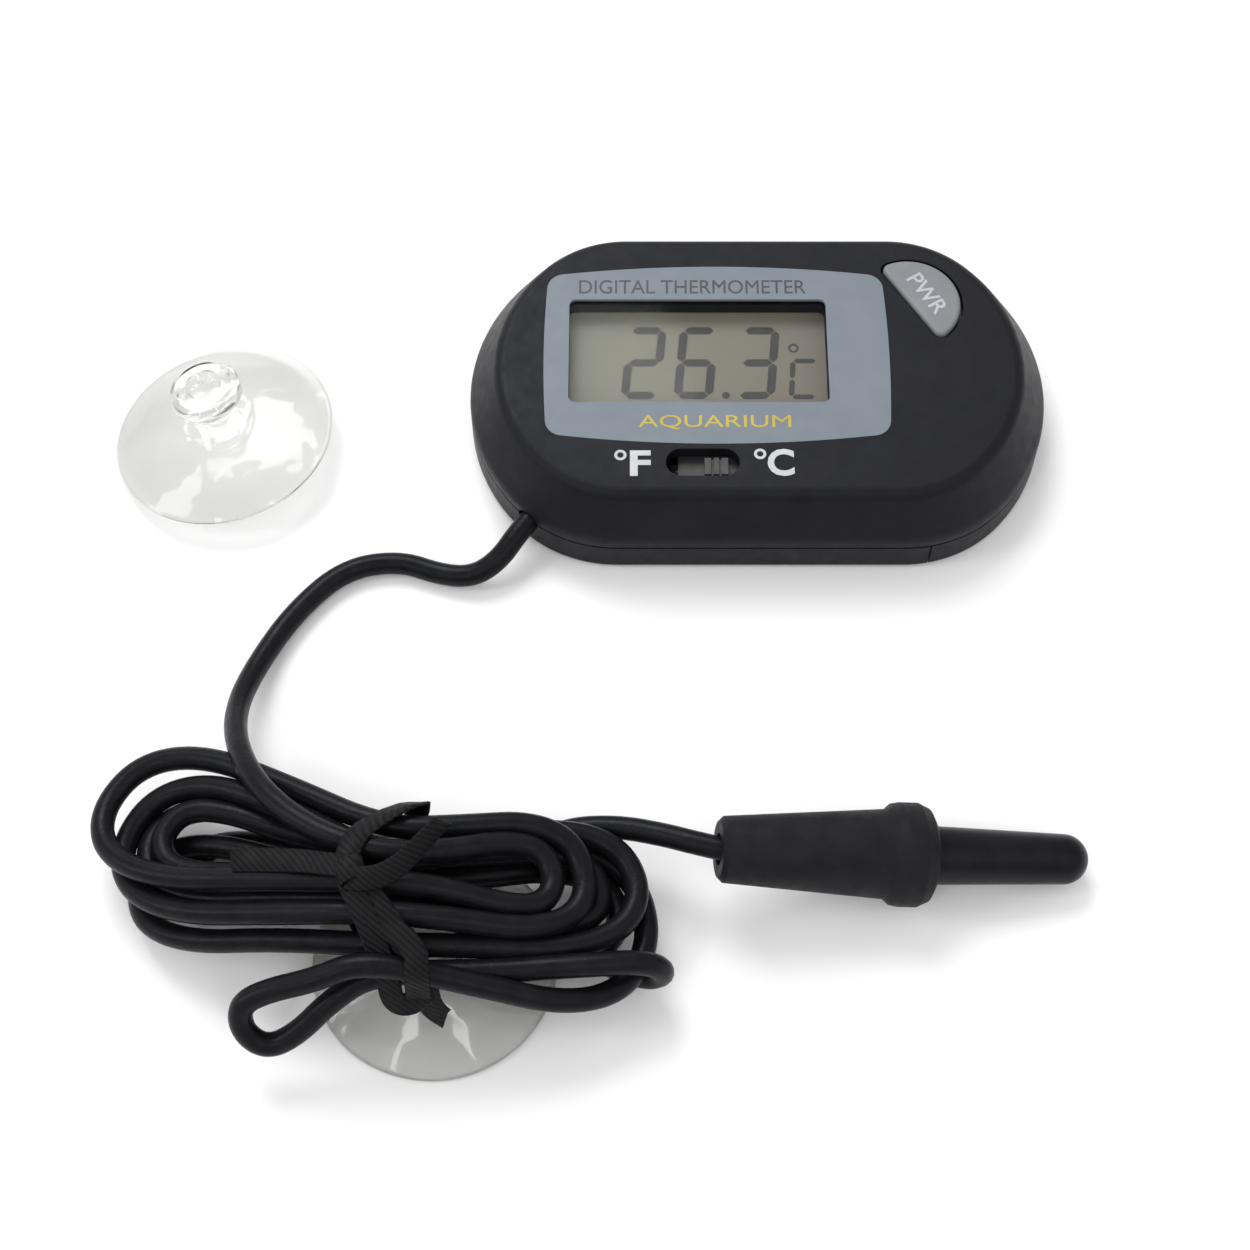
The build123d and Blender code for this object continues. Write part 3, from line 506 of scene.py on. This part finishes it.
board_green = moulded(
    "board_green", (0.008, 0.07, 0.025), (0.012, 0.10, 0.04), (0.25, 0.4), 3000.0, 20e-6,
    mottle=600.0, coat=0.4,
)
resin_black = moulded(
    "resin_black", (0.004, 0.004, 0.004), (0.008, 0.008, 0.008), (0.12, 0.25), 900.0, 60e-6
)
elastomer = moulded(
    "elastomer_pink", (0.40, 0.24, 0.19), (0.48, 0.30, 0.24), (0.6, 0.75), 4000.0, 20e-6, mottle=900.0
)
component = moulded("component_dark", (0.02, 0.02, 0.02), (0.05, 0.045, 0.04), (0.3, 0.5), 4000.0, 20e-6)
steel = moulded(
    "nickel_steel", (0.55, 0.54, 0.52), (0.66, 0.65, 0.63), (0.2, 0.38), 2500.0, 10e-6, metallic=1.0
)
core_red = moulded("core_red", (0.28, 0.015, 0.012), (0.36, 0.025, 0.02), (0.35, 0.5), 3000.0, 10e-6)
print_white = moulded("print_white", (0.41, 0.44, 0.45), (0.48, 0.51, 0.52), (0.5, 0.6), 8000.0, 4e-6)
print_dark = moulded("print_dark", (0.025, 0.028, 0.033), (0.035, 0.038, 0.045), (0.45, 0.55), 8000.0, 4e-6)
print_yellow = moulded("print_yellow", (0.40, 0.31, 0.02), (0.46, 0.36, 0.03), (0.45, 0.55), 8000.0, 4e-6)
print_pale = moulded("print_pale", (0.36, 0.39, 0.41), (0.42, 0.45, 0.47), (0.5, 0.6), 8000.0, 4e-6)
segment_dark = moulded(
    "segment_dark", (0.018, 0.019, 0.018), (0.026, 0.027, 0.026), (0.4, 0.5), 8000.0, 2e-6, mottle=900.0
)
cup_clear = clear_pvc("cup_clear", (0.97, 0.975, 0.955))
lens_clear = clear_lens("lens_clear")
glass_clear = clear_lens("lcd_glass_clear")
film_grey = lcd_film("film_grey")
ribbon_black = ribbed_ribbon("ribbon_black")

NODE_MATERIALS = {
    case_black: ("front_cover", "rear_cover", "battery_door"),
    label_grey: ("label_plate",),
    lens_clear: ("display_lens",),
    glass_clear: ("lcd_front_glass", "lcd_rear_glass"),
    film_grey: ("front_polarizer", "reflector_film"),
    elastomer: ("connector_strips",),
    inner_black: ("lcd_frame", "cell_cradle", "cord_clamp", "switch_base"),
    board_green: ("circuit_board",),
    resin_black: ("chip_cover", "sensing_bead"),
    component: ("chip_resistors", "switch_plunger", "slide_switch_lever"),
    steel: (
        "crystal",
        "switch_dome",
        "slide_switch_case",
        "button_cell",
        "side_contact",
        "top_contact",
        "case_screws",
        "bead_wires",
    ),
    button_grey: ("power_button",),
    slider_black: ("unit_slider",),
    core_red: ("inner_cores",),
    rubber_black: ("probe_sleeve",),
    tip_black: ("probe_tip",),
    cup_clear: ("suction_cup_free", "suction_cup_hank"),
    lead_black: ("cord_body_run", "cord_hank", "cord_probe_run"),
    ribbon_black: ("cord_tie",),
}
for finish, names in NODE_MATERIALS.items():
    for name in names:
        nodes[name].data.materials.clear()
        nodes[name].data.materials.append(finish)
lead.data.materials.append(lead_black)

# ---------------------------------------------------------------- printing and the display's characters

# The printed surfaces: height, body and material slot.
FACE = (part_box("front_cover")[1].z, "root", "case_black")
LABEL = (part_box("label_plate")[1].z, "root", "label_grey")
BUTTON = (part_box("power_button")[1].z, "power_button", "button_grey")
DISPLAY = (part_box("front_polarizer")[1].z, "root", "polarizer")
INK = 0.02 * MM


def add_mesh(name, mesh, material, body):
    """Links a finished mesh as a piece that rides on a body."""
    mesh.materials.clear()
    mesh.materials.append(material)
    piece = bpy.data.objects.new(name, mesh)
    bpy.context.scene.collection.objects.link(piece)
    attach(piece, body)
    return piece


def join_rings(shapes, first, second):
    """Adds the faces between two closed rings of as many vertices."""
    count = len(first)
    for i in range(count):
        j = (i + 1) % count
        shapes.faces.new((first[i], first[j], second[j], second[i]))


def finished_mesh(name, shapes):
    """The mesh of these shapes, with every face turned outward."""
    bmesh.ops.recalc_face_normals(shapes, faces=shapes.faces)
    mesh = bpy.data.meshes.new(name)
    shapes.to_mesh(mesh)
    shapes.free()
    return mesh


def printed_text(name, text, centre, size, surface, ink, turn=0.0, bold=0.0):
    """Letters printed on a surface, stretched to size (width, cap height) about centre, in millimetres."""
    height, body, slot = surface
    data = bpy.data.curves.new(name, "FONT")
    data.body = text
    data.resolution_u = 4
    data.offset = bold
    data.extrude = 0.01
    letters = bpy.data.objects.new(name, data)
    mesh = bpy.data.meshes.new_from_object(letters)
    bpy.data.objects.remove(letters)
    co = np.array([v.co for v in mesh.vertices])
    low, high = co.min(0), co.max(0)
    co -= (low + high) / 2
    co *= (size[0] * MM / (high[0] - low[0]), size[1] * MM / (high[1] - low[1]), INK / (high[2] - low[2]))
    c, s = math.cos(math.radians(turn)), math.sin(math.radians(turn))
    co[:, :2] = co[:, :2] @ np.array(((c, s), (-s, c)))
    # a tenth of the ink's thickness is in the surface
    co += (centre[0] * MM, centre[1] * MM, height + INK * 0.4)
    mesh.vertices.foreach_set("co", co.ravel())
    return add_mesh(name, mesh, ink, body)


def flat_shapes(name, outlines, surface, ink):
    """Printed shapes, each an outline of (x, y) points in millimetres, or an (outer, inner) pair."""
    height, body, slot = surface
    shapes = bmesh.new()
    for outline in outlines:
        rings = outline if isinstance(outline, tuple) else (outline,)
        layers = []
        for z in (height - INK * 0.2, height + INK):
            layers.append([[shapes.verts.new((x * MM, y * MM, z)) for x, y in line] for line in rings])
        for lower, upper in zip(*layers):
            join_rings(shapes, lower, upper)
        for layer in layers:
            if len(layer) == 1:
                shapes.faces.new(layer[0])
            else:
                join_rings(shapes, *layer)
    return add_mesh(name, finished_mesh(name, shapes), ink, body)


def circle(x, y, radius, steps=28):
    """The outline of a disc."""
    turns = [2 * math.pi * i / steps for i in range(steps)]
    return [(x + radius * math.cos(a), y + radius * math.sin(a)) for a in turns]


def ring(x, y, outer, inner):
    """The outer and inner outlines of a ring."""
    return circle(x, y, outer), circle(x, y, inner)


SEGMENTS = {"2": "abged", "6": "afgedc", "3": "abgcd", "c": "afed"}
SEGMENT_GAP = 0.09  # from a segment's pointed end to the corner it points at


def seven_segment(character, x, y, width, height, stroke, slant):
    """Outlines of one slanted seven-segment character whose lower left corner is (x, y)."""
    half = stroke / 2
    right, top, middle = width - half, height - half, height / 2
    ends = {
        "a": ((half, top), (right, top)),
        "b": ((right, top), (right, middle)),
        "c": ((right, middle), (right, half)),
        "d": ((right, half), (half, half)),
        "e": ((half, half), (half, middle)),
        "f": ((half, middle), (half, top)),
        "g": ((half, middle), (right, middle)),
    }
    outlines = []
    for name in SEGMENTS[character]:
        start, end = (Vector(p) for p in ends[name])
        along = (end - start).normalized()
        up = Vector((-along.y, along.x)) * half
        near, far = SEGMENT_GAP, SEGMENT_GAP + half * 0.95
        tip, shoulder = start + along * near, start + along * far
        far_tip, far_shoulder = end - along * near, end - along * far
        path = [tip, shoulder + up, far_shoulder + up, far_tip, far_shoulder - up, shoulder - up]
        outlines.append([(x + p.x + slant * p.y / height, y + p.y) for p in path])
    return outlines


# The reading, in millimetres.
DIGIT_LOW, DIGIT_HIGH = -3.05, 6.8
DIGIT_SLANT, DIGIT_WIDTH, DIGIT_STROKE = 0.9, 4.5, 0.98
DIGIT_HEIGHT = DIGIT_HIGH - DIGIT_LOW
reading = []
for character, left in (("2", -15.75), ("6", -9.75), ("3", -2.75)):
    reading += seven_segment(character, left, DIGIT_LOW, DIGIT_WIDTH, DIGIT_HEIGHT, DIGIT_STROKE, DIGIT_SLANT)
reading += seven_segment("c", 3.35, DIGIT_LOW, 3.3, 5.5, 0.62, 0.35)
reading.append(circle(-3.75, DIGIT_LOW + 0.5, 0.46))
reading.append(ring(4.1, 3.9, 0.62, 0.36))
flat_shapes("display_reading", reading, DISPLAY, segment_dark)

printed_text("title_print", "DIGITAL THERMOMETER", (-7.45, 10.55), (26.0, 1.9), LABEL, print_dark)
printed_text("use_print", "AQUARIUM", (-5.2, -7.9), (17.0, 1.9), LABEL, print_yellow)
printed_text("f_print", "F", (-13.5, -13.25), (2.3, 3.3), FACE, print_white, bold=0.03)
printed_text("c_print", "C", (2.0, -13.15), (2.95, 3.5), FACE, print_white, bold=0.03)
printed_text("power_print", "PWR", (19.45, 9.35), (5.9, 2.0), BUTTON, print_pale, turn=-58.0, bold=0.012)
degrees = [ring(-15.7, -12.2, 0.68, 0.36), ring(-0.27, -12.05, 0.68, 0.36)]
flat_shapes("degree_prints", degrees, FACE, print_white)

# ---------------------------------------------------------------- the ribbon that ties the hank

# Everything from here to the end of make_tie is in millimetres.
RIBBON_WIDTH, RIBBON_THICKNESS = 2.5, 0.34
# The ribbon's cross-section, in widths and thicknesses: edges a little thicker than the middle.
RIBBON_SECTION = (
    (-0.5, 0.0),
    (-0.44, 0.5),
    (0.0, 0.36),
    (0.44, 0.5),
    (0.5, 0.0),
    (0.44, -0.5),
    (0.0, -0.36),
    (-0.44, -0.5),
)
# The band goes round the strands that are this close to this place.
BAND_X, BAND_Y = -38.5, -64.0
BAND_REACH_X, BAND_REACH_Y = 4.0, 10.0
KNOT_Y = -63.2
WRAP_STEPS = 18


def strand_top(x, y, reach=1.6):
    """The height of the highest strand near a point."""
    near = np.hypot(strands[:, 0] - x, strands[:, 1] - y) < reach
    return (strands[near, 2].max() if near.any() else 0.0) + CORD_RADIUS / MM


def band_x(y):
    """The band's curved course along the hank at that y: it bows left at the knot."""
    return np.minimum(-42.8 + 0.1 * (y + 62.0) ** 2, -35.6)


def band_path(steps=48):
    """A closed path round the strands where the band crosses them, and the way it faces at each place."""
    beside = np.abs(strands[:, 1] - BAND_Y) < BAND_REACH_Y
    inside = strands[beside & (np.abs(strands[:, 0] - BAND_X) < BAND_REACH_X)]
    flat = inside[:, 1:]
    centre = (flat.min(0) + flat.max(0)) / 2
    angles = np.linspace(0, 2 * math.pi, 120, endpoint=False)
    directions = np.stack([np.cos(angles), np.sin(angles)], 1)
    support = ((flat - centre) @ directions.T).max(0) + CORD_RADIUS / MM + RIBBON_THICKNESS * 0.6
    path, facing = [], []
    for turn in np.linspace(0.5 * math.pi, 2.5 * math.pi, steps, endpoint=False):
        lean = np.cos(turn - angles)
        reach = np.where(lean > 0.05, support / np.maximum(lean, 0.05), 1e9)
        y, z = centre + reach.min() * np.array((math.cos(turn), math.sin(turn)))
        path.append(Vector((band_x(y), y, z)))
        out = directions[reach.argmin()]
        facing.append(Vector((0, out[0], out[1])))
    blurred = []
    for i in range(steps):
        near = [facing[(i + k) % steps] for k in (-2, -1, 0, 1, 2)]
        blurred.append(sum(near, Vector()).normalized())
    return path, blurred


def smooth_path(points, per_span=6):
    """A smooth open line through control points."""
    line, _ = spline_points(np.array([tuple(p) for p in points], float), per_span)
    return [Vector(p) for p in line]


def turning(start, end, count):
    """Directions that turn evenly from start to end."""
    return [Vector(start).lerp(Vector(end), i / (count - 1)).normalized() for i in range(count)]


def ribbon(shapes, path, facing, closed=False, cut=0.0):
    """Adds a flat ribbon along the path that faces the given way at each place; its far end is cut aslant."""
    count = len(path)
    loops = []
    for i, place in enumerate(path):
        before = path[i - 1] if closed or i else path[0]
        after = path[(i + 1) % count] if closed or i < count - 1 else path[-1]
        tangent = (after - before).normalized()
        wide = tangent.cross(facing[i]).normalized()
        normal = wide.cross(tangent)
        slant = cut if i == count - 1 else 0.0
        loop = []
        for across, up in RIBBON_SECTION:
            point = place + wide * across * RIBBON_WIDTH + normal * up * RIBBON_THICKNESS
            loop.append(shapes.verts.new((point + tangent * slant * across) * MM))
        loops.append(loop)
    for i in range(count if closed else count - 1):
        join_rings(shapes, loops[i], loops[(i + 1) % count])
    if not closed:
        shapes.faces.new(loops[0])
        shapes.faces.new(loops[-1])


def tail(shapes, points, start, end, cut=0.0):
    """Adds an open piece of ribbon along control points; the way it faces turns from start to end."""
    path = smooth_path(points)
    ribbon(shapes, path, turning(start, end, len(path)), cut=cut)


def make_tie():
    """The band, its knot, its loose tails and a second lap at the front, as one ribbon mesh."""
    shapes = bmesh.new()
    band, facing = band_path()
    ribbon(shapes, band, facing, closed=True)
    upper = [i for i in range(len(band)) if facing[i].z > 0.3]
    knot = band[min(upper, key=lambda i: abs(band[i].y - KNOT_Y))] + Vector((0.4, 0, 0.7))
    turns = [2 * math.pi * i / WRAP_STEPS for i in range(WRAP_STEPS)]
    wrap = [knot + Vector((1.25 * math.sin(a), 0.5 * math.sin(a), 0.85 * math.cos(a))) for a in turns]
    ribbon(shapes, wrap, [p - knot for p in wrap], closed=True)

    left = [knot + Vector((0.6, 0.3, 0.2)), knot + Vector((-2.0, 0.5, 0.3))]
    for x, y in ((-46.6, -61.6), (-50.4, -61.0), (-54.8, -60.6)):
        left.append(Vector((x, y, strand_top(x, y) + 0.35)))
    tail(shapes, left, (0, 0.1, 1), (0.1, -0.25, 1), cut=0.5)

    right = [(-0.4, -0.9, 0.3), (1.6, -1.5, 0.9), (4.4, -0.6, 1.3), (6.9, 1.9, 1.8), (9.0, 4.6, 1.6)]
    tail(shapes, [knot + Vector(p) for p in right], (0.1, -0.5, 1), (0.5, -0.9, 0.5), cut=1.4)

    edge = min(band, key=lambda place: place.y)
    lower = [band[i] for i in upper if band[i].y < knot.y]
    halfway = min(lower, key=lambda place: abs(place.y - (knot.y + edge.y) / 2))
    lift = Vector((0.7, -0.1, 0.4))
    down = [knot + Vector((0.5, -0.6, 0.1)), halfway + lift, edge + Vector((0, 1.2, 1.6)) + lift]
    down += [edge + Vector((1.0, -0.5, -1.2)), edge + Vector((2.4, -0.7, -3.2))]
    tail(shapes, down, (0, -0.3, 1), (0.2, -1, 0.3), cut=2.2)

    lap = [knot + Vector((-0.2, -1.0, -0.1)), halfway + Vector((-1.8, 0, 0.4))]
    lap += [edge + Vector(p) for p in ((-3.0, 1.5, 2.4), (-2.6, -0.4, 0.2), (-0.6, -0.5, 0.2), (0.8, 0.6, 1.4))]
    tail(shapes, lap, (-0.1, -0.3, 1), (-0.3, -0.9, 0.6))

    mesh = finished_mesh("tie_ribbon", shapes)
    for face in mesh.polygons:
        face.use_smooth = True
    piece = add_mesh("tie_ribbon", mesh, ribbon_black, "root")
    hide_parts("cord_tie")
    return piece


tie = make_tie()
